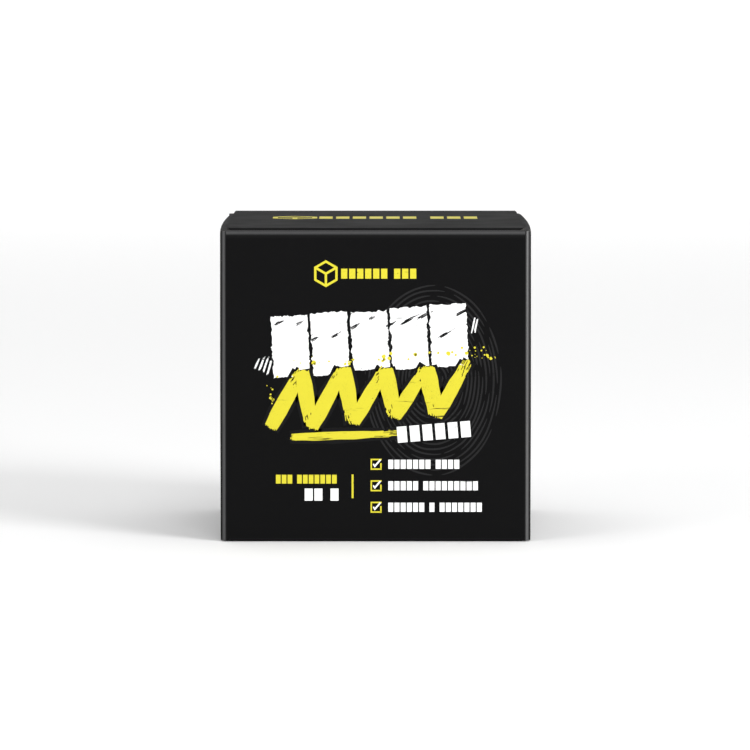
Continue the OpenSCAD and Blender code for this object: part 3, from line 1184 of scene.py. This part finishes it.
def build_front_rings():
    inks = bpy.context.scene.chalk_print
    rng = random.Random(23)
    centre, rings = (10.4, 29.2), 19
    reach_x, reach_z, smallest, line = 12.6, 17.8, 0.3, 0.36
    outlines = []
    for k in range(2, rings):
        rx, rz = reach_x * k / rings + smallest, reach_z * k / rings + smallest
        a = rng.uniform(0, 40)
        end = a + 352
        while a < end:
            run = rng.uniform(14, 80)
            outlines.append(arc_band(centre, rx, rz, a, min(a + run, end), line, k))
            a += run + rng.uniform(2, 9)
    made = ink_piece("print_rings", "carton",
                     ink_material("Grey ink", inks.grey), [(RING_LAYER, outlines)], on_front)
    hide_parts("front_print_rings")


def build_lid_print():
    inks = bpy.context.scene.chalk_print
    mark = cube_mark(-14.9, 4.6, 4.2, 0.9)
    line = letter_blocks(-10.4, 4.6, (6, 3), 2.45, 6.8, 0.65)
    made = ink_piece("print_lid", "top_lid", ink_material("Yellow ink", inks.yellow),
                     [(PRINT_LAYER, line)] + stacked(mark, PRINT_LAYER), on_lid)
    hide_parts("lid_print")


# ---------------------------------------------------------------- stage


def area_light(name, place, aim, size, power, shape=1.0):
    data = bpy.data.lights.new(name, "AREA")
    data.shape = "RECTANGLE"
    data.size, data.size_y = size, size * shape
    data.energy = power
    lamp = bpy.data.objects.new(name, data)
    bpy.context.scene.collection.objects.link(lamp)
    lamp.location = place
    lamp.rotation_euler = (Vector(aim) - Vector(place)).to_track_quat("-Z", "Y").to_euler()


def build_backdrop():
    """One sheet: a floor that curves up into a wall far behind."""
    colour = bpy.context.scene.chalk_stage.floor
    material, nodes, shader = new_material("Backdrop paper")
    if nodes:
        shader.inputs["Base Color"].default_value = (*colour, 1)
        shader.inputs["Roughness"].default_value = 0.9
        shader.inputs["Specular IOR Level"].default_value = 0.1
    radius, behind, ahead, tall, half = 0.8, 2.5, 3.0, 3.0, 4.0
    # A hair below the base, so that a flap that lies flat on the floor stays in sight
    floor = -0.05 * MM
    profile = [(-ahead, floor), (behind, floor)]
    for a in steps(0, 90, 12):
        turn = math.radians(a)
        profile.append((behind + radius * math.sin(turn), floor + radius * (1 - math.cos(turn))))
    profile.append((behind + radius, tall))
    build = bmesh.new()
    rows = [[build.verts.new((x, y, z)) for x in (-half, half)] for y, z in profile]
    for low, high in zip(rows, rows[1:]):
        build.faces.new([low[0], low[1], high[1], high[0]]).smooth = True
    mesh = bpy.data.meshes.new("backdrop")
    build.to_mesh(mesh)
    build.free()
    mesh.materials.append(material)
    add_object("backdrop", mesh)


def build_camera():
    stage = bpy.context.scene.chalk_stage
    middle = Vector((-stage.aim_left, 0, HEIGHT / 2 - stage.aim_drop))
    data = bpy.data.cameras.new("camera")
    data.lens = stage.lens
    data.sensor_width = 36
    data.clip_start, data.clip_end = 0.01, 20
    camera = bpy.data.objects.new("camera", data)
    bpy.context.scene.collection.objects.link(camera)
    away = Vector((0, -math.cos(stage.elevation), math.sin(stage.elevation)))
    camera.location = middle + away * stage.distance
    camera.rotation_euler = (middle - camera.location).to_track_quat("-Z", "Y").to_euler()
    bpy.context.scene.camera = camera


def build_lights():
    scene = bpy.context.scene
    world = bpy.data.worlds.new("studio")
    world.use_nodes = True
    background = world.node_tree.nodes["Background"]
    background.inputs[0].default_value = (1, 1, 1, 1)
    background.inputs[1].default_value = 0.42
    scene.world = world
    aim = (0, 0, HEIGHT / 2)
    area_light("light_top", (0, 0.0, 1.1), aim, 1.0, 3.9)
    area_light("light_front", (0.1, -0.95, 0.95), aim, 0.35, 2.3)
    area_light("light_right", (0.85, -0.8, 0.35), aim, 0.5, 14, 1.4)
    area_light("light_left", (-0.85, -0.8, 0.35), aim, 0.5, 3.0, 1.4)
    area_light("light_behind", (0, 1.6, 1.6), (0, 2.8, 0.3), 1.6, 25)
    scene.view_settings.view_transform = "Standard"
    scene.view_settings.look = "None"


# ---------------------------------------------------------------- operators


class CHALK_OT_tube(bpy.types.Operator):
    """Builds the carton's tube and its glued seam"""

    bl_idname = "chalk.tube"
    bl_label = "Carton tube"

    def execute(self, context):
        build_tube()
        build_glue()
        return {"FINISHED"}


class CHALK_OT_closures(bpy.types.Operator):
    """Builds the lids, tuck flaps and dust flaps at both ends"""

    bl_idname = "chalk.closures"
    bl_label = "Closures"

    def execute(self, context):
        for end, flip in (("top", None), ("bottom", turned_over())):
            build_lid(end, flip)
            build_tuck(end, flip)
            for hand in ("left", "right"):
                build_dust(end, hand, flip)
        return {"FINISHED"}


class CHALK_OT_block(bpy.types.Operator):
    """Builds the block of chalk and its crumbs"""

    bl_idname = "chalk.block"
    bl_label = "Chalk block"

    def execute(self, context):
        build_chalk()
        build_crumbs()
        return {"FINISHED"}


class CHALK_OT_print(bpy.types.Operator):
    """Prints the front wall and the lid"""

    bl_idname = "chalk.print"
    bl_label = "Print"

    def execute(self, context):
        build_front_rings()
        build_front_white()
        build_front_yellow()
        build_lid_print()
        return {"FINISHED"}


class CHALK_OT_stage(bpy.types.Operator):
    """Sets up the backdrop, the lights and the camera"""

    bl_idname = "chalk.stage"
    bl_label = "Stage"

    def execute(self, context):
        build_backdrop()
        build_lights()
        build_camera()
        return {"FINISHED"}


OPERATORS = (CHALK_OT_tube, CHALK_OT_closures, CHALK_OT_block, CHALK_OT_print, CHALK_OT_stage)
SETTINGS = (
    ("chalk_carton", CartonSettings),
    ("chalk_block", ChalkSettings),
    ("chalk_print", PrintSettings),
    ("chalk_stage", StageSettings),
)


class CHALK_PT_panel(bpy.types.Panel):
    """Settings and build steps of the chalk carton"""

    bl_idname = "CHALK_PT_panel"
    bl_label = "Chalk Carton"
    bl_space_type = "VIEW_3D"
    bl_region_type = "UI"
    bl_category = "Chalk"

    def draw(self, context):
        for name, kind in SETTINGS:
            part = self.layout.box()
            for key in kind.__annotations__:
                part.prop(getattr(context.scene, name), key)
        for operator in OPERATORS:
            self.layout.operator(operator.bl_idname)


CLASSES = tuple(kind for _, kind in SETTINGS) + OPERATORS + (CHALK_PT_panel,)


def register():
    for kind in CLASSES:
        bpy.utils.register_class(kind)
    for name, kind in SETTINGS:
        setattr(bpy.types.Scene, name, bpy.props.PointerProperty(type=kind))


def unregister():
    for name, _ in SETTINGS:
        delattr(bpy.types.Scene, name)
    for kind in reversed(CLASSES):
        bpy.utils.unregister_class(kind)


def main():
    register()
    for operator in OPERATORS:
        family, name = operator.bl_idname.split(".")
        getattr(getattr(bpy.ops, family), name)()


if __name__ == "__main__":
    main()
